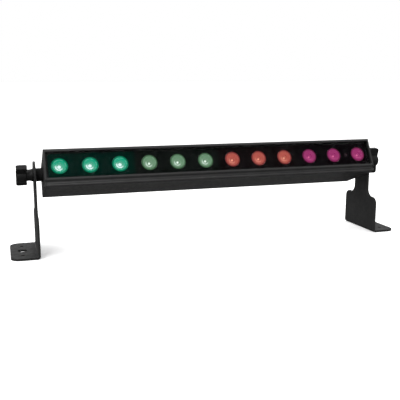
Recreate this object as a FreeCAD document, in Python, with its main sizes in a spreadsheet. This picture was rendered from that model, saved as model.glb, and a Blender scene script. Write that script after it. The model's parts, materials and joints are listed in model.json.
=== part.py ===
import FreeCAD, Part
import math
import os
import re

import Sketcher

# LED strip batten held between two bent-sheet feet. Millimetres, +Z up, X along the batten.
# The origin is on the floor, under the middle of the resting object.
# Everything that tilts is drawn in a bar frame: X along the bar, Y into its depth, Z up its
# face, with the pivot at zero. One placement then lifts and tilts it.

SIZES = {
    # tilt pivot and bar
    "pivot_height": 110.5, "pivot_y": 1.4, "tilt_angle": 28,
    "bar_length": 498, "cap_thickness": 2.4, "wall_thickness": 2,
    "front_depth": 44, "rear_depth": 44, "top_rise": 20.5, "nose_drop": 31.8,
    "rear_chamfer": 1.6, "rear_drop": 20.3, "nose_setback": 5.8,
    "window_top": 17, "window_bottom": 21, "lip_drop": 24.4, "bead_drop": 29.2,
    "web_front": 24, "web_back": 20, "slot_depth": 1.2,
    "panel_half": 16.5, "panel_lip": 14.5, "panel_thickness": 2, "cap_screw_head": 0.7,
    # light engine
    "led_count": 12, "led_pitch": 41.5, "led_drop": 2.5, "lens_radius": 11.2,
    "lens_front": 38.2, "lens_back": 28, "mask_front": 38.5, "mask_thickness": 1.5,
    "pane_front": 40.5, "pane_thickness": 1.5, "board_thickness": 1.6,
    # brackets
    "sheet_thickness": 3, "plate_inside": 258.6, "foot_reach": 298, "bracket_width": 89,
    "bracket_setback": 1,
    "neck_width": 38, "shoulder_height": 56, "bend_radius": 1.5, "foot_corner": 13,
    "foot_hole_x": 281.5, "foot_hole_spacing": 50, "foot_hole_radius": 2.6,
    "clamp_hole_radius": 6.5, "stud_hole_radius": 4.4,
    # pivot hardware
    "stud_radius": 4, "thread_bore_radius": 4.05, "spacer_radius": 9.25,
    "washer_radius": 9, "washer_thickness": 2, "knob_head_start": 270, "knob_end": 285,
    "wing_span": 41, "wing_thickness": 7, "left_wing_angle": 48, "right_wing_angle": 8,
    # rear sockets and controls
    "inlet_x": -205, "outlet_x": -150, "fuse_x": -108, "display_x": -30,
    "button_x": 14, "button_pitch": 13, "button_radius": 3, "button_count": 4,
    "dmx_in_x": 150, "dmx_out_x": 205, "socket_radius": 12,
}

doc = FreeCAD.newDocument("batten")
sheet = doc.addObject("Spreadsheet::Sheet", "Sizes")
for row, (alias, value) in enumerate(SIZES.items(), start=1):
    sheet.set("A%d" % row, alias)
    sheet.set("B%d" % row, str(value))
    sheet.setAlias("B%d" % row, alias)
doc.recompute()

# Places on a bar end or a socket face: (depth, rise) or (X offset, rise).
CAP_SCREWS = [(-22, 14), (-22, -25.2), (34, 16), (33, -17)]
POLES = [(4.2, 2.4), (-4.2, 2.4), (0, -4.2)]
BLADES = [(-7, 1.5), (7, 1.5), (0, -3)]

X_AXIS = FreeCAD.Vector(1, 0, 0)
Y_AXIS = FreeCAD.Vector(0, 1, 0)
ALONG = {
    "x": FreeCAD.Rotation(Y_AXIS, 90),
    "y": FreeCAD.Rotation(X_AXIS, -90),
    "z": FreeCAD.Rotation(),
}
parts = []


def size(alias):
    """The present value of one driving dimension."""
    return float(sheet.get(alias))


def formula(text):
    """A sheet expression, from text that names the aliases bare."""
    return re.sub(r"\b([a-z]+_[a-z_]+)\b", r"Sizes.\1", str(text))


def bind(obj, **sizes):
    for name, text in sizes.items():
        obj.setExpression(name, formula(text))


def place(obj, at, turn="z"):
    """Puts a primitive at three expressions, with its own Z turned along an axis."""
    obj.Placement = FreeCAD.Placement(FreeCAD.Vector(), ALONG[turn])
    for letter, text in zip("xyz", at):
        obj.setExpression("Placement.Base." + letter, formula(text))
    return obj


def block(at, length, width, height):
    """A box from its lowest corner."""
    obj = doc.addObject("Part::Box", "block")
    bind(obj, Length=length, Width=width, Height=height)
    return place(obj, at)


def rod(at, radius, height, turn="y"):
    """A cylinder from the centre of its lower end."""
    obj = doc.addObject("Part::Cylinder", "rod")
    bind(obj, Radius=radius, Height=height)
    return place(obj, at, turn)


def cone(at, radius_start, radius_end, height, turn="y"):
    obj = doc.addObject("Part::Cone", "cone")
    bind(obj, Radius1=radius_start, Radius2=radius_end, Height=height)
    return place(obj, at, turn)


def group(shapes):
    if len(shapes) == 1:
        return shapes[0]
    obj = doc.addObject("Part::Compound", "group")
    obj.Links = shapes
    return obj


def fused(shapes):
    obj = doc.addObject("Part::MultiFuse", "fused")
    obj.Shapes = shapes
    return obj


def cut(base, tools):
    obj = doc.addObject("Part::Cut", "cut")
    obj.Base = base
    obj.Tool = group(tools)
    return obj


def tilt(obj):
    """Lifts an object from the bar frame to its place on the tilted bar."""
    obj.Placement = FreeCAD.Placement(FreeCAD.Vector(), FreeCAD.Rotation(-X_AXIS, 1))
    obj.setExpression("Placement.Base.y", "Sizes.pivot_y")
    obj.setExpression("Placement.Base.z", "Sizes.pivot_height")
    obj.setExpression("Placement.Rotation.Angle", "Sizes.tilt_angle")


def keep(label, shapes, tools=None):
    """Names one sub-part of the bar, from its solids and the tools that cut them."""
    solids = doc.addObject("Part::Compound", "solids")
    solids.Links = shapes
    obj = cut(solids, tools) if tools else solids
    obj.Label = label
    tilt(obj)
    parts.append(obj)
    return obj


# ---------------------------------------------------------------- sketched bodies

def new_body(label):
    body = doc.addObject("PartDesign::Body", "Body")
    body.Label = label
    parts.append(body)
    return body


def sketch_on(body, role):
    plane = [item for item in body.Origin.OriginFeatures if item.Role == role][0]
    sketch = body.newObject("Sketcher::SketchObject", "Sketch")
    sketch.AttachmentSupport = [(plane, "")]
    sketch.MapMode = "FlatFace"
    return sketch


def draw_loop(sketch, steps):
    """Draws a closed outline. A step is a corner (x, y), or an arc (mid, end)."""
    here = steps[0]
    for step in steps[1:] + [steps[0]]:
        start = FreeCAD.Vector(here[0], here[1], 0)
        if isinstance(step[0], tuple):
            middle = FreeCAD.Vector(*step[0], 0)
            end = FreeCAD.Vector(*step[1], 0)
            sketch.addGeometry(Part.Arc(start, middle, end), False)
            here = step[1]
        elif math.dist(here, step) > 1e-6:
            sketch.addGeometry(Part.LineSegment(start, FreeCAD.Vector(*step, 0)), False)
            here = step


def draw_circle(sketch, x, y, radius_text):
    """A circle whose radius is bound to the sheet."""
    circle = Part.Circle(FreeCAD.Vector(x, y, 0), FreeCAD.Vector(0, 0, 1), 1)
    index = sketch.addGeometry(circle, False)
    rule = sketch.addConstraint(Sketcher.Constraint("Radius", index, 1))
    sketch.setExpression("Constraints[%d]" % rule, formula(radius_text))


def pad(body, sketch, length_text, both_ways=True):
    feature = body.newObject("PartDesign::Pad", "Pad")
    feature.Profile = sketch
    if both_ways:
        feature.SideType = "Symmetric"
    feature.setExpression("Length", formula(length_text))
    doc.recompute()
    return feature


def pocket_through(body, sketch):
    """A pocket both ways from its sketch, checked to have removed something."""
    before = body.Shape.Volume
    feature = body.newObject("PartDesign::Pocket", "Pocket")
    feature.Profile = sketch
    feature.SideType = "Symmetric"
    feature.Length = 4 * size("foot_reach")
    doc.recompute()
    if body.Shape.Volume > before - 1e-3:
        raise RuntimeError(body.Label + ": a pocket removed nothing")
    return feature


def underside(depth):
    """The height of the sloping underside at a depth into the bar."""
    start = size("nose_setback") - size("front_depth")
    end = size("rear_depth") - size("rear_chamfer")
    share = (depth - start) / (end - start)
    return -size("nose_drop") + share * (size("nose_drop") - size("rear_drop"))


def profile_outline():
    """The extrusion's outer outline in the bar frame, as (depth, rise) steps."""
    front = -size("front_depth")
    rear = size("rear_depth")
    top = size("top_rise")
    chamfer = size("rear_chamfer")
    lip, bead = -size("lip_drop"), -size("bead_drop")
    nose = front + size("nose_setback")
    seam = nose - 1.4
    return [
        (front, top - 0.6), (front + 0.6, top), (rear - chamfer, top), (rear, top - chamfer),
        (rear, -size("rear_drop") + chamfer), (rear - chamfer, underside(rear - chamfer)),
        (nose, underside(nose)), (nose - 0.2, underside(nose) + 0.7),
        (seam + 0.2, underside(nose) + 0.7), (seam, underside(nose)),
        ((front + 2.3, bead - 2.1), (front + 2.2, bead)),
        ((front + 3.4, (lip + bead) / 2), (front + 1.4, lip)),
        ((front + 0.4, lip + 0.7), (front, lip + 1.6)),
    ]


def housing():
    """An H-shaped extrusion: lamp channel, hollow nose and a rear chamber."""
    body = new_body("housing")
    wall = size("wall_thickness")
    front, rear = -size("front_depth"), size("rear_depth")
    web_front, web_back = -size("web_front"), -size("web_back")
    high, low = size("window_top"), -size("window_bottom")
    slot = size("slot_depth")
    pane_front = -size("pane_front")
    pane_back = pane_front + size("pane_thickness")
    lip, half = size("panel_lip"), size("panel_half") + 0.1
    panel_back = rear - size("panel_thickness")
    inside = panel_back - wall
    outer = sketch_on(body, "YZ_Plane")
    draw_loop(outer, profile_outline())
    pad(body, outer, "bar_length - 2 * cap_thickness")
    lamp = sketch_on(body, "YZ_Plane")
    draw_loop(lamp, [
        (front - 1, high), (pane_front, high), (pane_front, high + slot), (pane_back, high + slot),
        (pane_back, high), (web_front, high), (web_front, low), (pane_back, low),
        (pane_back, low - slot), (pane_front, low - slot), (pane_front, low), (front - 1, low),
    ])
    pocket_through(body, lamp)
    hollow = sketch_on(body, "YZ_Plane")
    hollow_front = front + 3.5 * wall
    draw_loop(hollow, [
        (hollow_front, underside(hollow_front) + wall), (web_front, underside(web_front) + wall),
        (web_front, low - 1.8 * wall), (hollow_front, low - 1.8 * wall),
    ])
    pocket_through(body, hollow)
    chamber = sketch_on(body, "YZ_Plane")
    top = size("top_rise") - wall
    draw_loop(chamber, [
        (web_back, top), (inside, top), (inside, lip), (panel_back, lip), (panel_back, half),
        (rear + 1, half), (rear + 1, -half), (panel_back, -half), (panel_back, -lip),
        (inside, -lip), (inside, underside(inside) + wall), (web_back, underside(web_back) + wall),
    ])
    pocket_through(body, chamber)
    bosses = sketch_on(body, "YZ_Plane")
    for depth, rise in CAP_SCREWS:
        if depth > 0:
            draw_circle(bosses, depth, rise, "3.4")
    pad(body, bosses, "bar_length - 2 * cap_thickness")
    ports = sketch_on(body, "YZ_Plane")
    for depth, rise in CAP_SCREWS:
        draw_circle(ports, depth, rise, "1.5")
    pocket_through(body, ports)
    tilt(body)


def end_cap(label, side):
    """A flat cap with the extrusion's outline, a stud hole and four screw holes."""
    body = new_body(label)
    face = sketch_on(body, "YZ_Plane")
    draw_loop(face, profile_outline())
    draw_circle(face, 0, 0, "stud_hole_radius")
    for depth, rise in CAP_SCREWS:
        draw_circle(face, depth, rise, "1.7")
    feature = pad(body, face, "cap_thickness", both_ways=False)
    feature.Reversed = side < 0
    tilt(body)
    shift = "bar_length / 2 - cap_thickness"
    body.setExpression("Placement.Base.x", formula("%d * (%s)" % (side, shift)))


def bracket(label, side):
    """A bent sheet foot: an upright plate with a rounded neck, and a flange outwards."""
    body = new_body(label)
    inside, reach = size("plate_inside"), size("foot_reach")
    sheet_metal, bend = size("sheet_thickness"), size("bend_radius")
    pivot = size("pivot_height")
    neck, half = size("neck_width") / 2, size("bracket_width") / 2
    middle = size("pivot_y")
    body_middle = middle + size("bracket_setback")
    outside = inside + sheet_metal
    top = pivot + neck
    outer_bend = bend + sheet_metal
    diagonal = 1 - math.sqrt(0.5)

    section = sketch_on(body, "XZ_Plane")
    draw_loop(section, [
        (side * outside, top), (side * inside, top), (side * inside, outer_bend),
        ((side * (inside + outer_bend * diagonal), outer_bend * diagonal),
         (side * (inside + outer_bend), 0)),
        (side * reach, 0), (side * reach, sheet_metal), (side * (outside + bend), sheet_metal),
        ((side * (outside + bend * diagonal), sheet_metal + bend * diagonal),
         (side * outside, sheet_metal + bend)),
    ])
    pad(body, section, "2 * (bracket_width + 2 * pivot_y)")

    shoulder = size("shoulder_height")
    convex, concave = 10, 12
    outline = sketch_on(body, "YZ_Plane")
    margin = 3 * half
    draw_loop(outline, [(-margin, -margin), (margin, -margin), (margin, 2 * top), (-margin, 2 * top)])

    def edge(sign):
        """One shoulder: up the body's side, a round corner, a ledge and a cove to the neck."""
        return [
            (body_middle + sign * half, -1.0),
            (body_middle + sign * half, shoulder - convex),
            ((body_middle + sign * (half - convex * diagonal), shoulder - convex * diagonal),
             (body_middle + sign * (half - convex), shoulder)),
            (middle + sign * (neck + concave), shoulder),
            ((middle + sign * (neck + concave * diagonal), shoulder + concave * diagonal),
             (middle + sign * neck, shoulder + concave)),
            (middle + sign * neck, pivot),
        ]

    def reverse(steps):
        """The same outline walked backwards, arcs included."""
        ends = [step if not isinstance(step[0], tuple) else step[1] for step in steps]
        back = [ends[-1]]
        for index in range(len(steps) - 1, 0, -1):
            arc = isinstance(steps[index][0], tuple)
            back.append((steps[index][0], ends[index - 1]) if arc else ends[index - 1])
        return back

    round_top = ((middle, pivot + neck), (middle - neck, pivot))
    draw_loop(outline, edge(1) + [round_top] + reverse(edge(-1))[1:])
    pocket_through(body, outline)

    plan = sketch_on(body, "XY_Plane")
    corner = size("foot_corner")
    draw_loop(plan, [
        (side * (inside - 20), -margin), (side * (reach + 20), -margin),
        (side * (reach + 20), margin), (side * (inside - 20), margin),
    ])
    near, far = body_middle - half, body_middle + half
    draw_loop(plan, [
        (side * (inside - 5), near), (side * (reach - corner), near),
        ((side * (reach - corner * diagonal), near + corner * diagonal),
         (side * reach, near + corner)),
        (side * reach, far - corner),
        ((side * (reach - corner * diagonal), far - corner * diagonal),
         (side * (reach - corner), far)),
        (side * (inside - 5), far),
    ])
    pocket_through(body, plan)

    holes = sketch_on(body, "XY_Plane")
    spacing = size("foot_hole_spacing") / 2
    for offset, radius in ((-spacing, "foot_hole_radius"), (0, "clamp_hole_radius"),
                           (spacing, "foot_hole_radius")):
        draw_circle(holes, side * size("foot_hole_x"), middle + offset, radius)
    pocket_through(body, holes)
    stud = sketch_on(body, "YZ_Plane")
    draw_circle(stud, middle, pivot, "stud_hole_radius")
    pocket_through(body, stud)


def knob(label, side, angle_text):
    """A wing knob: a coned neck, a round hub and two rounded wings."""
    body = new_body(label)
    start = size("plate_inside") + size("sheet_thickness") + size("washer_thickness")
    head, end = size("knob_head_start"), size("knob_end")
    bore = size("stud_radius")
    blind = end - 10
    turned = sketch_on(body, "XZ_Plane")
    foot, waist, hub, nose = 8.8, 8.0, 9.6, 6.2
    neck_end = (side * (head + 0.5), waist + 0.3)
    draw_loop(turned, [
        (side * start, bore), (side * start, foot),
        ((side * (start + 3.2), waist), neck_end), (side * (head + 1.5), hub),
        (side * (end - 3), hub), ((side * (end - 0.9), hub - 1.2), (side * end, nose)),
        (side * end, 0), (side * blind, 0), (side * blind, bore),
    ])
    spin = body.newObject("PartDesign::Revolution", "Revolution")
    spin.Profile = turned
    spin.ReferenceAxis = (turned, ["H_Axis"])
    spin.Angle = 360
    doc.recompute()
    wings = sketch_on(body, "XZ_Plane")
    tip = size("wing_span") / 2
    for sign in (1, -1):
        draw_loop(wings, [
            (side * (head + 2), sign * (bore + 0.8)), (side * head, sign * (tip - 2.4)),
            ((side * (head + 0.7), sign * (tip - 0.7)), (side * (head + 2.4), sign * tip)),
            (side * (end - 3.4), sign * tip),
            ((side * (end - 1), sign * (tip - 1)), (side * end, sign * (tip - 3.4))),
            (side * (end - 1), sign * (bore + 0.8)),
        ])
    pad(body, wings, "wing_thickness")
    body.Placement = FreeCAD.Placement(FreeCAD.Vector(), FreeCAD.Rotation(X_AXIS, 1))
    body.setExpression("Placement.Base.y", "Sizes.pivot_y")
    body.setExpression("Placement.Base.z", "Sizes.pivot_height")
    body.setExpression("Placement.Rotation.Angle", formula(angle_text))


# ---------------------------------------------------------------- pivot hardware

def pivot_hardware(name, side):
    """Spacer, washer, stud and threaded insert of one end, drawn on the pivot axis."""
    bar_end = "bar_length / 2"

    def from_end(start_text, length_text):
        """Where a rod along +X starts so that it runs outwards from start_text."""
        return start_text if side > 0 else "-(%s) - (%s)" % (start_text, length_text)

    gap = "(plate_inside - bar_length / 2)"
    flare = "1.6"
    spacer = fused([
        rod((from_end(bar_end, gap), 0, 0), "spacer_radius", gap, "x"),
        rod((from_end(bar_end, flare), 0, 0), "spacer_radius + 1", flare, "x"),
    ])
    bore = rod((from_end(bar_end + " - 1", gap + " + 2"), 0, 0), "stud_hole_radius", gap + " + 2", "x")
    keep(name + "_spacer", [spacer], [bore])
    outside = "plate_inside + sheet_thickness"
    washer = rod((from_end(outside, "washer_thickness"), 0, 0), "washer_radius", "washer_thickness", "x")
    hole = rod((from_end(outside + " - 1", "washer_thickness + 2"), 0, 0),
               "stud_hole_radius", "washer_thickness + 2", "x")
    keep(name + "_washer", [washer], [hole])
    length = "knob_end - 10 - 236"
    keep(name + "_stud", [rod((from_end("236", length), 0, 0), "stud_radius", length, "x")])
    insert_start = "bar_length / 2 - cap_thickness - 14"
    insert = fused([
        rod((from_end(insert_start, "14"), 0, 0), "8", "14", "x"),
        block((from_end("bar_length / 2 - cap_thickness - 4", "4"), -16, -13), 4, 32, 26),
    ])
    bore = rod((from_end(insert_start + " - 1", "16"), 0, 0), "thread_bore_radius", "16", "x")
    keep(name + "_insert", [insert], [bore])


def cap_screws(name, side):
    """Low-head screws through the cap into the ends of the extrusion."""
    heads = []
    for depth, rise in CAP_SCREWS:
        start = "bar_length / 2" if side > 0 else "-bar_length / 2 - cap_screw_head"
        shank = "bar_length / 2 - 12" if side > 0 else "-bar_length / 2"
        heads.append(fused([
            rod((start, depth, rise), 2.7, "cap_screw_head", "x"),
            rod((shank, depth, rise), 1.45, 12, "x"),
        ]))
    keep(name + "_cap_screws", heads)


# ---------------------------------------------------------------- light engine

def led_x(index):
    return "led_pitch * (%g)" % (index - (size("led_count") - 1) / 2)


def light_engine():
    leds = range(int(size("led_count")))
    half = "bar_length / 2 - cap_thickness - 0.3"
    ir_x = led_x(10.5)
    height = "window_top + window_bottom - 0.4"
    base = "0.2 - window_bottom"
    keep("front_window", [block(("-(%s)" % half, "-pane_front + 0.05", "0.1 - window_bottom - slot_depth"),
                                "2 * (%s)" % half, "pane_thickness - 0.1",
                                "window_top + window_bottom + 2 * slot_depth - 0.2")])
    seal_depth = "pane_front - pane_thickness - mask_front - 0.1"
    keep("window_seal",
         [block(("-(%s)" % half, "-mask_front - (%s) - 0.05" % seal_depth, base),
                "2 * (%s)" % half, seal_depth, height)],
         [block(("3 - (%s)" % half, "-mask_front - 5", "2.5 - window_bottom"),
                "2 * (%s) - 6" % half, 10, "window_top + window_bottom - 5")])
    holes = [rod((led_x(i), "-mask_front - 1", "-led_drop"), "lens_radius + 0.3", 6) for i in leds]
    holes.append(rod((ir_x, "-mask_front - 1", "-led_drop"), 3, 6))
    keep("lens_mask", [block(("-(%s)" % half, "-mask_front", base), "2 * (%s)" % half,
                             "mask_thickness", height)], holes)
    for i in leds:
        rim = rod((led_x(i), "-lens_front", "-led_drop"), "lens_radius", 1.5)
        bowl = cone((led_x(i), "1.5 - lens_front", "-led_drop"), "lens_radius", 5,
                    "lens_front - lens_back - 1.5")
        keep("lens_%02d" % (i + 1), [fused([rim, bowl])])
    board_y = "-web_front - board_thickness"
    keep("led_board", [block(("10 - (%s)" % half, board_y, "-led_drop - 13"),
                             "2 * (%s) - 20" % half, "board_thickness", 26)])
    keep("led_emitters", [block((led_x(i) + " - 3.5", "-web_front - board_thickness - 1.2",
                                 "-led_drop - 3.5"), 7, 1.2, 7) for i in leds])
    keep("lens_holders",
         [rod((led_x(i), "-web_front - board_thickness - 8.4", "-led_drop"), 10.6, 8.4) for i in leds],
         [rod((led_x(i), "-web_front - board_thickness - 9", "-led_drop"), 9.3, 10) for i in leds])
    keep("led_board_screws",
         [rod((led_x(i + 0.5), "-web_front - board_thickness - 2", "-led_drop + 9"), 2.8, 2)
          for i in leds if i < 11 and i % 2 == 0])
    keep("ir_receiver", [rod((ir_x, "0.2 - mask_front", "-led_drop"), 2.6,
                             "mask_front - web_front - board_thickness - 0.2")])


# ---------------------------------------------------------------- rear panel

def panel_screws_x():
    edge = size("bar_length") / 2 - 10
    return [-edge, -80, 80, edge]


def rear_panel():
    """A folded-in panel with a cut-out for every socket, the display and the buttons."""
    back = "rear_depth - panel_thickness"
    half = "bar_length / 2 - cap_thickness - 0.3"
    deep = back + " - 1"
    tools = [block((x + " - 14", deep, -10.4), 28, 6, 20.8) for x in ("inlet_x", "outlet_x")]
    tools += [rod((x, deep, 0), "socket_radius + 0.1", 6) for x in ("dmx_in_x", "dmx_out_x")]
    tools.append(rod(("fuse_x", deep, 0), 6.1, 6))
    tools.append(block(("display_x - 17", deep, -8), 34, 6, 16))
    tools += [rod((button_at(i), deep, 0), "button_radius + 0.3", 6) for i in buttons()]
    tools += [rod((x, deep, 0), 1.6, 6) for x in panel_screws_x()]
    keep("rear_panel", [block(("-(%s)" % half, back, "-panel_half"), "2 * (%s)" % half,
                              "panel_thickness", "2 * panel_half")], tools)
    keep("rear_panel_screws",
         [fused([rod((x, back, 0), 1.5, "panel_thickness + 0.5"),
                 rod((x, "rear_depth", 0), 2.8, 1.6)]) for x in panel_screws_x()])


def buttons():
    return range(int(size("button_count")))


def button_at(index):
    return "button_x + %d * button_pitch" % index


def controls():
    for i in buttons():
        stem = rod((button_at(i), "rear_depth - 4.8", 0), "button_radius - 0.8", 3)
        cap = rod((button_at(i), "rear_depth - 3.2", 0), "button_radius", 4.8)
        keep("button_%d" % (i + 1), [fused([stem, cap])])
    keep("control_board", [block(("display_x - 24", "rear_depth - 11", -11), 106, 1.6, 22)])
    switches = [block((button_at(i) + " - 3", "rear_depth - 9.4", -3), 6, 3.6, 6) for i in buttons()]
    keep("key_switches", switches)
    keep("display", [block(("display_x - 16", "rear_depth - 9.4", -7.5), 32, 7, 15)])
    keep("display_window", [block(("display_x - 16.8", "rear_depth - 2", -7.8), 33.6, 2.3, 15.6)])


def dmx_sockets():
    """Two three-pole signal sockets: one with pins, one with sleeves and a latch tab."""
    for label, x in (("dmx_in_socket", "dmx_in_x"), ("dmx_out_socket", "dmx_out_x")):
        flange = block((x + " - 13", "rear_depth", -15.5), 26, 2, 31)
        barrel = rod((x, "rear_depth - 20", 0), "socket_radius", 20)
        tools = [rod((x + " %+g" % (sign * 10), "rear_depth - 1", sign * 12.2), 1.6, 4)
                 for sign in (1, -1)]
        if label == "dmx_in_socket":
            tools.append(rod((x, "rear_depth - 14", 0), 9.4, 18))
        else:
            tools.append(block((x + " - 4.1", "rear_depth - 6", 7.2), 8.2, 10, 4.4))
            tools += [rod((x + " %+g" % dx, "rear_depth - 12", dz), 1.35, 16)
                      for dx, dz in POLES]
        keep(label, [fused([flange, barrel])], tools)
    keep("dmx_in_pins", [rod(("dmx_in_x %+g" % dx, "rear_depth - 14", dz), 1.2, 9)
                         for dx, dz in POLES])
    keep("dmx_latch_tab", [block(("dmx_out_x - 4", "rear_depth - 3.5", 7.3), 8, 7.3, 3.8)])
    keep("socket_screws", [rod((x + " %+g" % (sign * 10), "rear_depth + 2", sign * 12.2), 2.5, 1.4)
                           for x in ("dmx_in_x", "dmx_out_x") for sign in (1, -1)])


def power_sockets():
    for label, x in (("power_inlet", "inlet_x"), ("power_outlet", "outlet_x")):
        flange = block((x + " - 15.5", "rear_depth", -12.2), 31, 2, 24.4)
        shell = block((x + " - 13.8", "rear_depth - 20", -10.2), 27.6, 20, 20.4)
        if label == "power_inlet":
            tools = [block((x + " - 12", "rear_depth - 15", -8.4), 24, 20, 16.8)]
        else:
            tools = [block((x + " %+g" % (dx - 1.2), "rear_depth - 14", dz - 2.4), 2.4, 20, 4.8)
                     for dx, dz in BLADES]
        keep(label, [fused([flange, shell])], tools)
    keep("inlet_blades", [block(("inlet_x %+g" % (dx - 1), "rear_depth - 15", dz - 2), 2, 10, 4)
                          for dx, dz in BLADES])
    flange = rod(("fuse_x", "rear_depth", 0), 8.5, 1.8)
    barrel = rod(("fuse_x", "rear_depth - 24", 0), 6, 24)
    keep("fuse_holder", [fused([flange, barrel])], [rod(("fuse_x", "rear_depth - 22", 0), 5, 30)])
    cap = fused([rod(("fuse_x", "rear_depth + 1.9", 0), 6.4, 3.1),
                 rod(("fuse_x", "rear_depth - 3", 0), 4.7, 6)])
    keep("fuse_cap", [cap], [block(("fuse_x - 4.5", "rear_depth + 3.8", -0.7), 9, 2, 1.4)])
    keep("fuse", [rod(("fuse_x", "rear_depth - 21.5", 0), 2.6, 18.5)])


def driver():
    """The mains supply board on the chamber floor."""
    keep("driver_board", [block((-190, -18, -23), 260, 24, 1.6)])
    keep("driver_parts", [
        block((-180, -16, -21.4), 22, 16, 18), block((-120, -17, -21.4), 26, 22, 24),
        rod((-80, -6, -21.4), 6.3, 20, "z"), rod((-64, -6, -21.4), 6.3, 20, "z"),
        block((-40, -17, -21.4), 30, 6, 20), block((0, -15, -21.4), 18, 18, 14),
        rod((34, -6, -21.4), 5, 16, "z"), rod((50, -6, -21.4), 5, 16, "z"),
    ])


housing()
end_cap("left_end_cap", -1)
end_cap("right_end_cap", 1)
cap_screws("left", -1)
cap_screws("right", 1)
light_engine()
rear_panel()
controls()
dmx_sockets()
power_sockets()
driver()
pivot_hardware("left", -1)
pivot_hardware("right", 1)
bracket("left_bracket", -1)
bracket("right_bracket", 1)
knob("left_knob", -1, "left_wing_angle")
knob("right_knob", 1, "right_wing_angle")
doc.recompute()

for obj in doc.Objects:
    if "Invalid" in obj.State or "Error" in obj.State:
        raise RuntimeError("%s did not recompute: %s" % (obj.Label, obj.State))
for obj in parts:
    if obj.Shape.isNull() or not obj.Shape.isValid() or not obj.Shape.Solids:
        raise RuntimeError(obj.Label + " has no valid solid")

os.makedirs("parts", exist_ok=True)
for obj in parts:
    obj.Shape.exportStep("parts/%s.step" % obj.Label)
print(len(parts), "sub-parts written")
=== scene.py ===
import json
import math
import random

import bmesh
import bpy
from mathutils import Matrix, Vector


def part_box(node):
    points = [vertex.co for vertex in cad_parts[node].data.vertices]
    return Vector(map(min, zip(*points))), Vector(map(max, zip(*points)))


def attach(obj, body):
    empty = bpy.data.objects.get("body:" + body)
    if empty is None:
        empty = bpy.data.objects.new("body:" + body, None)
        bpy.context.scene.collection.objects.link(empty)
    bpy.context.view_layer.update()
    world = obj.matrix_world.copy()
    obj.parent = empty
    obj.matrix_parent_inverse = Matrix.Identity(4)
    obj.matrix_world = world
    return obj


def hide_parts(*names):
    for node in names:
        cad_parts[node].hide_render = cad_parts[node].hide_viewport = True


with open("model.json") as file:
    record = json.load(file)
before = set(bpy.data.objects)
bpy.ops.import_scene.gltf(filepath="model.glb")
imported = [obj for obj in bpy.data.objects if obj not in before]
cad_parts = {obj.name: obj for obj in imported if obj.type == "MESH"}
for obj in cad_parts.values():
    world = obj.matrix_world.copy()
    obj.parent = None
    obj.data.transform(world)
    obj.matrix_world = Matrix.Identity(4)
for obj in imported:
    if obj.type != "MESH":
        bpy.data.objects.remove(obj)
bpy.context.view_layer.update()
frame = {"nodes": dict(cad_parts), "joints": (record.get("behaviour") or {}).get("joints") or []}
random.seed(7)

MM = 0.001
NODES = frame["nodes"]
JOINTS = {joint["name"]: joint for joint in frame["joints"]}
PIVOT = Vector(JOINTS["bar_tilt"]["pos_m"])
BACKWARD = -Vector(JOINTS["button_1_press"]["axis"])      # into the bar's depth, away from the lenses
FACE_UP = Vector((1, 0, 0)).cross(BACKWARD)
LED_COUNT = 12
BAR = Matrix((
    (1, BACKWARD.x, FACE_UP.x, PIVOT.x),
    (0, BACKWARD.y, FACE_UP.y, PIVOT.y),
    (0, BACKWARD.z, FACE_UP.z, PIVOT.z),
    (0, 0, 0, 1),
))


# ------------------------------------------------------------------ mesh helpers

def centre(node):
    low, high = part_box(node)
    return (low + high) / 2


def mesh_object(name, mesh, matrix=None):
    """Links a mesh whose vertices are first moved to their place by the matrix."""
    if matrix is not None:
        mesh.transform(matrix)
    mesh.update()
    made = bpy.data.objects.new(name, mesh)
    bpy.context.scene.collection.objects.link(made)
    return made


def smooth(obj, degrees=35):
    for polygon in obj.data.polygons:
        polygon.use_smooth = True
    split = obj.modifiers.new("edges", "EDGE_SPLIT")
    split.split_angle = math.radians(degrees)
    return obj


def lathe_mesh(name, profile, steps=64, shape=None):
    """Turns (radius, height) points about Z. shape(radius, height, turn) may move each point."""
    made = bmesh.new()
    rings = []
    for radius, height in profile:
        if radius < 1e-7:
            rings.append([made.verts.new((0, 0, height))])
            continue
        ring = []
        for step in range(steps):
            turn = 2 * math.pi * step / steps
            r, z = shape(radius, height, turn) if shape else (radius, height)
            ring.append(made.verts.new((r * math.cos(turn), r * math.sin(turn), z)))
        rings.append(ring)
    for lower, upper in zip(rings, rings[1:]):
        for step in range(steps):
            after = (step + 1) % steps
            if len(lower) == 1:
                made.faces.new((lower[0], upper[step], upper[after]))
            elif len(upper) == 1:
                made.faces.new((lower[step], upper[0], lower[after]))
            else:
                made.faces.new((lower[step], upper[step], upper[after], lower[after]))
    bmesh.ops.recalc_face_normals(made, faces=made.faces)
    mesh = bpy.data.meshes.new(name)
    made.to_mesh(mesh)
    made.free()
    return mesh


def toward(origin, axis, roll=0.0):
    """A matrix that takes local +Z to the axis and puts the local origin at a point."""
    turn = Vector((0, 0, 1)).rotation_difference(Vector(axis)).to_matrix().to_4x4()
    return Matrix.Translation(origin) @ turn @ Matrix.Rotation(roll, 4, "Z")


# ------------------------------------------------------------------ materials

def new_material(name):
    made = bpy.data.materials.new(name)
    made.use_nodes = True
    return made, made.node_tree.nodes, made.node_tree.links, made.node_tree.nodes["Principled BSDF"]


def noise(nodes, links, scale, detail=3.0, coordinates=None):
    texture = nodes.new("ShaderNodeTexNoise")
    texture.inputs["Scale"].default_value = scale
    texture.inputs["Detail"].default_value = detail
    if coordinates is None:
        coordinates = nodes.new("ShaderNodeTexCoord").outputs["Object"]
    links.new(coordinates, texture.inputs["Vector"])
    return texture.outputs["Fac"]


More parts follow.
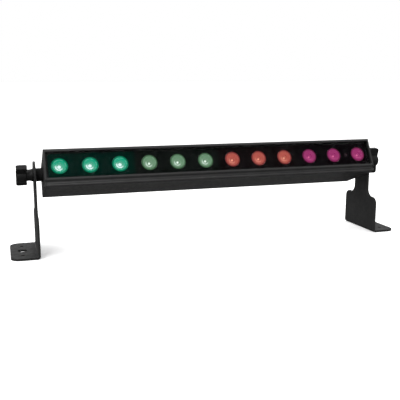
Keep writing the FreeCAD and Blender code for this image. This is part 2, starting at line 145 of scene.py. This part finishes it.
def spread(nodes, links, source, low, high):
    """Maps a noise value to a range."""
    mapped = nodes.new("ShaderNodeMapRange")
    mapped.inputs["From Min"].default_value = 0.3
    mapped.inputs["From Max"].default_value = 0.7
    mapped.inputs["To Min"].default_value = low
    mapped.inputs["To Max"].default_value = high
    links.new(source, mapped.inputs["Value"])
    return mapped.outputs["Result"]


def blend_colours(nodes, links, source, low, high):
    mix = nodes.new("ShaderNodeMix")
    mix.data_type = "RGBA"
    links.new(source, mix.inputs["Factor"])
    mix.inputs[6].default_value = (*low, 1)
    mix.inputs[7].default_value = (*high, 1)
    return mix.outputs[2]


def bumped(nodes, links, shader, height, strength, distance):
    bump = nodes.new("ShaderNodeBump")
    bump.inputs["Strength"].default_value = strength
    bump.inputs["Distance"].default_value = distance
    links.new(height, bump.inputs["Height"])
    links.new(bump.outputs["Normal"], shader.inputs["Normal"])


def coated(name, colour, roughness=(0.42, 0.55), grain=1500.0, bump=0.25, metallic=0.0, patchy=0.18,
           specular=0.5):
    """A surface with a fine grain, patches of slightly different tone, and uneven gloss."""
    made, nodes, links, shader = new_material(name)
    dark = [value * (1 - patchy) for value in colour]
    light = [value * (1 + patchy) for value in colour]
    patches = spread(nodes, links, noise(nodes, links, 45.0, 5.0), 0.0, 1.0)
    links.new(blend_colours(nodes, links, patches, dark, light), shader.inputs["Base Color"])
    gloss = spread(nodes, links, noise(nodes, links, 190.0, 4.0), *roughness)
    links.new(gloss, shader.inputs["Roughness"])
    shader.inputs["Metallic"].default_value = metallic
    shader.inputs["Specular IOR Level"].default_value = specular
    bumped(nodes, links, shader, noise(nodes, links, grain, 2.0), bump, 0.00025)
    return made


def glass(name, tint, roughness=0.02, ior=1.45):
    made, nodes, links, shader = new_material(name)
    shader.inputs["Base Color"].default_value = (*tint, 1)
    shader.inputs["Transmission Weight"].default_value = 1.0
    shader.inputs["IOR"].default_value = ior
    smear = spread(nodes, links, noise(nodes, links, 60.0, 4.0), roughness, roughness + 0.03)
    links.new(smear, shader.inputs["Roughness"])
    return made


def math_node(nodes, links, operation, first, second=None):
    made = nodes.new("ShaderNodeMath")
    made.operation = operation
    for socket, value in zip(made.inputs, (first, second)):
        if value is None:
            continue
        if isinstance(value, (int, float)):
            socket.default_value = value
        else:
            links.new(value, socket)
    return made.outputs[0]


def ranged(nodes, links, value, start, end, low, high):
    """A smooth step of a value: low at start, high at end."""
    made = nodes.new("ShaderNodeMapRange")
    made.interpolation_type = "SMOOTHSTEP"
    for name, number in (("From Min", start), ("From Max", end), ("To Min", low), ("To Max", high)):
        made.inputs[name].default_value = number
    links.new(value, made.inputs["Value"])
    return made.outputs["Result"]


def band(nodes, links, value, middle, half_width):
    """One inside a band about the middle, falling to zero at its edges."""
    away = math_node(nodes, links, "ABSOLUTE", math_node(nodes, links, "SUBTRACT", value, middle))
    return ranged(nodes, links, away, half_width * 0.35, half_width, 1.0, 0.0)


def vector_node(nodes, links, operation, first, second=None):
    made = nodes.new("ShaderNodeVectorMath")
    made.operation = operation
    links.new(first, made.inputs[0])
    if isinstance(second, tuple):
        made.inputs[1].default_value = second
    elif second is not None:
        links.new(second, made.inputs[1])
    return made


def lens_material(name, rim, body, core, chip_radius, crescent_tone, seed):
    """A lit optic: the chip shows through it below the middle, with a crescent and rings."""
    made, nodes, links, shader = new_material(name)
    spot = nodes.new("ShaderNodeUVMap")
    spot.uv_map = "face"
    face = spot.outputs["UV"]
    radius = vector_node(nodes, links, "LENGTH", face).outputs["Value"]
    from_chip = vector_node(nodes, links, "SUBTRACT", face, (-0.05, -0.12, 0)).outputs["Vector"]
    chip = vector_node(nodes, links, "LENGTH", from_chip).outputs["Value"]
    shifted = vector_node(nodes, links, "ADD", face, (seed, seed * 0.7, 0)).outputs["Vector"]
    mottle = noise(nodes, links, 5.5, 3.0, shifted)
    wobble = math_node(nodes, links, "MULTIPLY", math_node(nodes, links, "SUBTRACT", mottle, 0.5), 0.22)
    chip = math_node(nodes, links, "ADD", chip, wobble)
    low_side = vector_node(nodes, links, "DOT_PRODUCT",
                           vector_node(nodes, links, "NORMALIZE", from_chip).outputs["Vector"],
                           (-0.45, -0.89, 0)).outputs["Value"]
    facing = ranged(nodes, links, low_side, -0.35, 0.7, 0.12, 1.0)
    chip_glow = ranged(nodes, links, chip, chip_radius * 0.75, chip_radius * 1.5, 1.0, 0.0)
    crescent = math_node(nodes, links, "MULTIPLY", band(nodes, links, chip, 0.40, 0.13), facing)
    crescent = math_node(nodes, links, "MULTIPLY", crescent, crescent_tone)
    patch = ranged(nodes, links, mottle, 0.42, 0.62, 0.0, 1.0)
    outer = math_node(nodes, links, "MULTIPLY", band(nodes, links, radius, 0.76, 0.07), patch)
    inner = math_node(nodes, links, "MULTIPLY", band(nodes, links, chip, 0.62, 0.06), patch)
    arcs = math_node(nodes, links, "MULTIPLY", math_node(nodes, links, "ADD", outer, inner), 0.17)
    bright = math_node(nodes, links, "ADD", math_node(nodes, links, "MAXIMUM", chip_glow, crescent), arcs)
    bright = math_node(nodes, links, "MINIMUM", bright, 1.0)
    edge = ranged(nodes, links, radius, 0.72, 0.99, 0.0, 1.0)
    dim = math_node(nodes, links, "MULTIPLY", band(nodes, links, radius, 0.88, 0.05), 0.6)
    edge = math_node(nodes, links, "MINIMUM", math_node(nodes, links, "ADD", edge, dim), 1.0)
    tone = blend_colours(nodes, links, edge, body, rim)
    top = nodes.new("ShaderNodeMix")
    top.data_type = "RGBA"
    links.new(bright, top.inputs["Factor"])
    links.new(tone, top.inputs[6])
    top.inputs[7].default_value = (*core, 1)
    links.new(top.outputs[2], shader.inputs["Emission Color"])
    shader.inputs["Emission Strength"].default_value = 1.0
    links.new(blend_colours(nodes, links, edge, [0.05 * value for value in body],
                            [0.04 * value for value in rim]), shader.inputs["Base Color"])
    gloss = spread(nodes, links, mottle, 0.08, 0.22)
    links.new(gloss, shader.inputs["Roughness"])
    shader.inputs["Specular IOR Level"].default_value = 0.04
    return made


def mask_material(name, pitch, first, spill_tones):
    """Matt black sheet with painted spill light: emission in each lens group's colour is painted around
    each lit lens and fades outwards.
    """
    made, nodes, links, shader = new_material(name)
    place = nodes.new("ShaderNodeTexCoord").outputs["Object"]
    centre_line = centre("lens_mask") - 0.6 * MM * FACE_UP
    away = vector_node(nodes, links, "SUBTRACT", place, tuple(centre_line)).outputs["Vector"]
    parts_of = nodes.new("ShaderNodeSeparateXYZ")
    links.new(place, parts_of.inputs["Vector"])
    across = vector_node(nodes, links, "DOT_PRODUCT", away, tuple(FACE_UP)).outputs["Value"]
    steps = math_node(nodes, links, "DIVIDE",
                      math_node(nodes, links, "SUBTRACT", parts_of.outputs["X"], first), pitch)
    nearest = math_node(nodes, links, "ROUND", steps)
    along = math_node(nodes, links, "MULTIPLY", math_node(nodes, links, "SUBTRACT", steps, nearest), pitch)
    squares = [math_node(nodes, links, "MULTIPLY", value, value) for value in (along, across)]
    distance = math_node(nodes, links, "SQRT", math_node(nodes, links, "ADD", *squares))
    # painted spill light: the emission is strongest next to each lens and falls off over 11 to 30 mm
    glow = ranged(nodes, links, distance, 11 * MM, 30 * MM, 1.0, 0.35)
    share = math_node(nodes, links, "DIVIDE", nearest, LED_COUNT - 1.0)
    ramp = nodes.new("ShaderNodeValToRGB")
    ramp.color_ramp.interpolation = "CONSTANT"
    ramp.color_ramp.elements[0].color = (*spill_tones[0], 1)
    ramp.color_ramp.elements[1].position = 2.5 / (LED_COUNT - 1)
    ramp.color_ramp.elements[1].color = (*spill_tones[1], 1)
    for group_index in (2, 3):
        element = ramp.color_ramp.elements.new((3 * group_index - 0.5) / (LED_COUNT - 1))
        element.color = (*spill_tones[group_index], 1)
    links.new(share, ramp.inputs["Fac"])
    # one noise varies both the painted spill glow and the sheet's own black tone
    glow_and_tone_mottle = spread(nodes, links, noise(nodes, links, 90.0, 3.0), 0.8, 1.2)
    links.new(ramp.outputs["Color"], shader.inputs["Emission Color"])
    links.new(math_node(nodes, links, "MULTIPLY", glow, glow_and_tone_mottle), shader.inputs["Emission Strength"])
    links.new(blend_colours(nodes, links, glow_and_tone_mottle, (0.0006, 0.0006, 0.0007), (0.0011, 0.0011, 0.0012)),
              shader.inputs["Base Color"])
    shader.inputs["Specular IOR Level"].default_value = 0.03
    shader.inputs["Roughness"].default_value = 0.6
    return made


LED_PITCH = centre("lens_02").x - centre("lens_01").x
MATERIALS = {
    "housing": coated("black_powder_coat", (0.013, 0.013, 0.013), (0.40, 0.52), 1700, 0.2, specular=0.3),
    "cap": coated("cap_powder_coat", (0.011, 0.011, 0.011), (0.42, 0.54), 1700, 0.2, specular=0.28),
    "bracket": coated("bracket_powder_coat", (0.012, 0.012, 0.012), (0.5, 0.64), 1300, 0.28, specular=0.13),
    "screw": coated("black_zinc", (0.045, 0.045, 0.048), (0.25, 0.4), 2600, 0.1, 0.9),
    "steel": coated("zinc_plate", (0.42, 0.42, 0.44), (0.25, 0.42), 2600, 0.1, 1.0),
    "brass": coated("turned_brass", (0.55, 0.38, 0.14), (0.22, 0.36), 2600, 0.08, 1.0),
    "nylon": coated("knob_nylon", (0.005, 0.005, 0.005), (0.38, 0.5), 2200, 0.14, specular=0.16),
    "rubber": coated("spacer_rubber", (0.005, 0.005, 0.005), (0.6, 0.75), 1900, 0.3, specular=0.12),
    # the mask's four colours are painted spill light from the lens groups, not the sheet's own colour
    "mask": mask_material("matt_mask_painted_spill", LED_PITCH, centre("lens_01").x,
                          [(0.0, 0.0105, 0.0065), (0.002, 0.0035, 0.0027),
                           (0.0022, 0.0008, 0.0011), (0.0010, 0.0003, 0.0008)]),
    "holder": coated("holder_plastic", (0.01, 0.01, 0.01), (0.4, 0.5), 2000, 0.1),
    "board": coated("white_solder_mask", (0.75, 0.75, 0.72), (0.3, 0.4), 900, 0.06),
    "emitter": coated("emitter_silicone", (0.7, 0.55, 0.12), (0.2, 0.3), 1500, 0.05),
    "green_board": coated("green_solder_mask", (0.012, 0.10, 0.04), (0.28, 0.4), 700, 0.08),
    "component": coated("moulded_component", (0.03, 0.03, 0.033), (0.3, 0.45), 1500, 0.1),
    "socket": coated("socket_polyamide", (0.014, 0.014, 0.015), (0.25, 0.38), 2100, 0.1),
    "button": coated("keypad_rubber", (0.035, 0.035, 0.038), (0.55, 0.68), 2000, 0.16),
    "display": coated("display_cover", (0.012, 0.003, 0.004), (0.06, 0.12), 300, 0.01),
    "sensor": coated("sensor_window", (0.016, 0.006, 0.010), (0.2, 0.3), 400, 0.02, specular=0.15),
    "pane": glass("coated_pane", (0.97, 0.97, 0.97), 0.02, 1.04),
    "fuse": glass("fuse_tube", (0.85, 0.9, 0.9), 0.05),
}
LENS_TONES = [
    lens_material("optic_green", rim=(0.001, 0.17, 0.085), body=(0.006, 0.33, 0.19),
                  core=(0.82, 1.0, 1.0), chip_radius=0.20, crescent_tone=0.95, seed=1.0),
    lens_material("optic_lime", rim=(0.053, 0.12, 0.06), body=(0.115, 0.24, 0.135),
                  core=(0.82, 0.95, 0.85), chip_radius=0.13, crescent_tone=0.62, seed=4.0),
    lens_material("optic_red", rim=(0.20, 0.036, 0.035), body=(0.39, 0.075, 0.06),
                  core=(0.92, 0.40, 0.27), chip_radius=0.11, crescent_tone=0.42, seed=7.0),
    lens_material("optic_magenta", rim=(0.14, 0.015, 0.06), body=(0.29, 0.028, 0.13),
                  core=(0.82, 0.17, 0.38), chip_radius=0.10, crescent_tone=0.25, seed=9.0),
]

NODE_MATERIAL = {
    "housing": "housing", "rear_panel": "housing",
    "left_end_cap": "cap", "right_end_cap": "cap",
    "left_bracket": "bracket", "right_bracket": "bracket",
    "left_spacer": "rubber", "right_spacer": "rubber", "window_seal": "rubber",
    "left_washer": "nylon", "right_washer": "nylon",
    "left_stud": "steel", "right_stud": "steel", "dmx_latch_tab": "steel",
    "left_insert": "brass", "right_insert": "brass", "dmx_in_pins": "brass", "inlet_blades": "steel",
    "left_knob": "nylon", "right_knob": "nylon",
    "left_cap_screws": "screw", "right_cap_screws": "screw", "rear_panel_screws": "screw",
    "socket_screws": "screw", "led_board_screws": "steel",
    "front_window": "pane", "lens_mask": "mask", "lens_holders": "holder",
    "led_board": "board", "led_emitters": "emitter", "ir_receiver": "sensor",
    "driver_board": "green_board", "control_board": "green_board",
    "driver_parts": "component", "key_switches": "component", "display": "component",
    "display_window": "display", "fuse": "fuse",
    "dmx_in_socket": "socket", "dmx_out_socket": "socket", "power_inlet": "socket",
    "power_outlet": "socket", "fuse_holder": "socket", "fuse_cap": "socket",
    "button_1": "button", "button_2": "button", "button_3": "button", "button_4": "button",
}
SOFT_EDGES = {
    "housing": 0.35, "left_end_cap": 0.4, "right_end_cap": 0.4, "rear_panel": 0.2,
    "left_bracket": 0.35, "right_bracket": 0.35, "left_spacer": 0.4, "right_spacer": 0.4,
    "left_washer": 0.3, "right_washer": 0.3, "dmx_in_socket": 0.3, "dmx_out_socket": 0.3,
    "power_inlet": 0.3, "power_outlet": 0.3, "fuse_holder": 0.3, "fuse_cap": 0.3,
    "button_1": 0.4, "button_2": 0.4, "button_3": 0.4, "button_4": 0.4, "dmx_latch_tab": 0.3,
    "left_knob": 0.5, "right_knob": 0.5, "display_window": 0.2,
}


def dress(name):
    """Gives a CAD node its material and rounds its sharp edges with modifiers."""
    node = NODES[name]
    node.data.materials.clear()
    node.data.materials.append(MATERIALS[NODE_MATERIAL[name]])
    if name in SOFT_EDGES:
        weld = node.modifiers.new("weld", "WELD")
        weld.merge_threshold = 0.00001
        bevel = node.modifiers.new("round", "BEVEL")
        bevel.width = SOFT_EDGES[name] * MM
        bevel.segments = 2
        bevel.limit_method = "ANGLE"
        bevel.angle_limit = math.radians(32)
        bevel.harden_normals = True


for node_name in NODE_MATERIAL:
    dress(node_name)


# ------------------------------------------------------------------ lenses

def lens(index):
    """A ringed, faceted optic in place of the plain CAD one."""
    node = "lens_%02d" % (index + 1)
    low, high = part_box(node)
    radius = (high.x - low.x) / 2
    facets = 36

    def surface(r, z, turn):
        share = r / radius
        if 0.36 < share < 0.9:
            z += 0.10 * MM * math.cos(facets * turn) * math.sin(math.pi * (share - 0.36) / 0.54)
        return r, z

    front = 0.0
    profile = [(0.0, front - 1.3 * MM)]
    for step in range(1, 9):
        share = step / 8
        profile.append((share * 0.30 * radius, front - 1.3 * MM - 0.9 * MM * share * share))
    for step in range(1, 13):
        share = 0.32 + 0.56 * step / 12
        groove = 0.16 * MM if step % 3 == 0 else 0
        profile.append((share * radius, front - 0.75 * MM + 0.5 * MM * share - groove))
    profile += [
        (0.905 * radius, front - 0.35 * MM), (0.92 * radius, front - 0.05 * MM),
        (0.985 * radius, front), (0.999 * radius, front - 0.15 * MM),
        (radius, front - 1.4 * MM), (0.5 * radius, front - 10 * MM), (0.0, front - 10 * MM),
    ]
    mesh = lathe_mesh(node + "_optic", profile, 72, surface)
    layer = mesh.uv_layers.new(name="face")
    for loop in mesh.loops:
        point = mesh.vertices[loop.vertex_index].co
        layer.data[loop.index].uv = (point.x / radius, point.y / radius)
    spot = BAR.inverted() @ centre(node)
    face = BAR.inverted() @ centre("lens_mask")
    depth = face.y - 0.95 * MM
    placed = BAR @ Matrix.Translation((spot.x, depth, face.z - 0.6 * MM)) @ Matrix.Rotation(
        math.radians(90), 4, "X")
    optic = mesh_object(node + "_optic", mesh, placed)
    optic.data.materials.append(LENS_TONES[index // 3])
    smooth(optic, 50)
    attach(optic, "bar")
    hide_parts(node)


for lens_index in range(LED_COUNT):
    lens(lens_index)


# ------------------------------------------------------------------ screws

def screw_mesh(name, head_radius, head_height, shank_radius, shank_length, socket_radius):
    """A pan-head screw with a six-sided socket. Its head stands on the plane Z = 0."""
    sector = math.radians(60)

    def hexagonal(radius, height, turn):
        inside = radius <= socket_radius * 1.02 and height > 0
        if inside and radius > 1e-7:
            offset = turn % sector - sector / 2
            radius *= math.cos(sector / 2) / math.cos(offset)
        return radius, height

    top = head_height
    profile = [
        (0.0, top * 0.25), (socket_radius * 0.98, top * 0.25), (socket_radius, top * 0.97),
        (socket_radius * 1.12, top), (head_radius * 0.72, top), (head_radius * 0.93, top * 0.72),
        (head_radius, top * 0.30), (head_radius, 0.0), (shank_radius, 0.0),
        (shank_radius, -shank_length), (0.0, -shank_length),
    ]
    return lathe_mesh(name, profile, 36, hexagonal)


def islands(node):
    """The corners of each separate solid of a CAD node, found by following joined edges."""
    gathered = bmesh.new()
    gathered.from_mesh(NODES[node].data)
    bmesh.ops.remove_doubles(gathered, verts=gathered.verts, dist=1e-5)
    waiting = set(gathered.verts)
    boxes = []
    while waiting:
        stack = [waiting.pop()]
        corners = []
        while stack:
            vertex = stack.pop()
            corners.append(vertex.co.copy())
            for edge in vertex.link_edges:
                other = edge.other_vert(vertex)
                if other in waiting:
                    waiting.remove(other)
                    stack.append(other)
        boxes.append(corners)
    gathered.free()
    return boxes


def screws(node, axis, head_radius, head_height, shank_radius, shank_length):
    """Detailed screws in place of a CAD group of plain ones."""
    axis = Vector(axis).normalized()
    joined = bmesh.new()
    for corners in islands(node):
        middle = sum(corners, Vector()) / len(corners)
        outer = max(corner.dot(axis) for corner in corners)
        seat = middle + axis * (outer - head_height - middle.dot(axis))
        mesh = screw_mesh("screw", head_radius, head_height, shank_radius, shank_length,
                          head_radius * 0.45)
        mesh.transform(toward(seat, axis, random.uniform(0, math.pi)))
        joined.from_mesh(mesh)
        bpy.data.meshes.remove(mesh)
    mesh = bpy.data.meshes.new(node + "_detailed")
    joined.to_mesh(mesh)
    joined.free()
    made = mesh_object(node + "_detailed", mesh)
    made.data.materials.append(MATERIALS["screw"])
    smooth(made, 40)
    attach(made, "bar")
    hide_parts(node)


screws("left_cap_screws", (-1, 0, 0), 2.7 * MM, 0.7 * MM, 1.45 * MM, 9 * MM)
screws("right_cap_screws", (1, 0, 0), 2.7 * MM, 0.7 * MM, 1.45 * MM, 9 * MM)
screws("rear_panel_screws", BACKWARD, 2.8 * MM, 1.6 * MM, 1.5 * MM, 2 * MM)
screws("socket_screws", BACKWARD, 2.5 * MM, 1.4 * MM, 1.2 * MM, 1.6 * MM)


# ------------------------------------------------------------------ stage

def stage():
    floor_mesh = bpy.data.meshes.new("floor")
    reach = 30.0
    floor_mesh.from_pydata([(-reach, -reach, 0), (reach, -reach, 0), (reach, reach, 0), (-reach, reach, 0)],
                           [], [(0, 1, 2, 3)])
    floor = mesh_object("floor", floor_mesh)
    pale, nodes, links, shader = new_material("pale_floor")
    shader.inputs["Roughness"].default_value = 0.9
    tone = spread(nodes, links, noise(nodes, links, 3.0, 2.0), 0.0, 1.0)
    links.new(blend_colours(nodes, links, tone, (0.93, 0.93, 0.93), (0.95, 0.95, 0.95)),
              shader.inputs["Base Color"])
    shader.inputs["Emission Color"].default_value = (1, 1, 1, 1)
    shader.inputs["Emission Strength"].default_value = 0.25
    floor.data.materials.append(pale)
    floor.visible_glossy = False

    world = bpy.data.worlds.new("studio")
    world.use_nodes = True
    nodes, links = world.node_tree.nodes, world.node_tree.links
    split = nodes.new("ShaderNodeSeparateXYZ")
    links.new(nodes.new("ShaderNodeTexCoord").outputs["Generated"], split.inputs["Vector"])
    above = ranged(nodes, links, split.outputs["Z"], -0.12, 0.0, 0.0, 1.0)
    links.new(blend_colours(nodes, links, above, (0.13, 0.13, 0.13), (1.0, 1.0, 1.0)),
              nodes["Background"].inputs["Color"])
    nodes["Background"].inputs["Strength"].default_value = 1.0
    bpy.context.scene.world = world

    def softbox(name, place, target, width, height, watts):
        light = bpy.data.lights.new(name, "AREA")
        light.shape = "RECTANGLE"
        light.size = width
        light.size_y = height
        light.energy = watts
        made = bpy.data.objects.new(name, light)
        made.location = place
        made.rotation_euler = (Vector(target) - Vector(place)).to_track_quat("-Z", "Y").to_euler()
        bpy.context.scene.collection.objects.link(made)

    softbox("key", (-1.1, -1.2, 1.3), (0, 0, 0.1), 1.0, 0.8, 22)
    softbox("top", (0.2, 0.3, 1.6), (0, 0, 0.1), 1.6, 0.8, 16)
    softbox("side", (-1.6, 0.3, 0.5), (-0.2, 0, 0.1), 0.8, 0.8, 5)


def camera():
    """The view of the reference: from the left, a little above, level with the horizon."""
    view = bpy.data.cameras.new("camera")
    view.lens = 57.46
    view.sensor_width = 36.0
    seat = bpy.data.objects.new("camera", view)
    yaw, pitch = math.radians(17.36), math.radians(10.87)
    ahead = Vector((math.sin(yaw) * math.cos(pitch), math.cos(yaw) * math.cos(pitch), -math.sin(pitch)))
    seat.location = PIVOT + Vector((-0.3024, -0.9090, 0.1334))
    seat.rotation_euler = ahead.to_track_quat("-Z", "Y").to_euler()
    bpy.context.scene.collection.objects.link(seat)
    bpy.context.scene.camera = seat
    bpy.context.scene.view_settings.view_transform = "Standard"


stage()
camera()
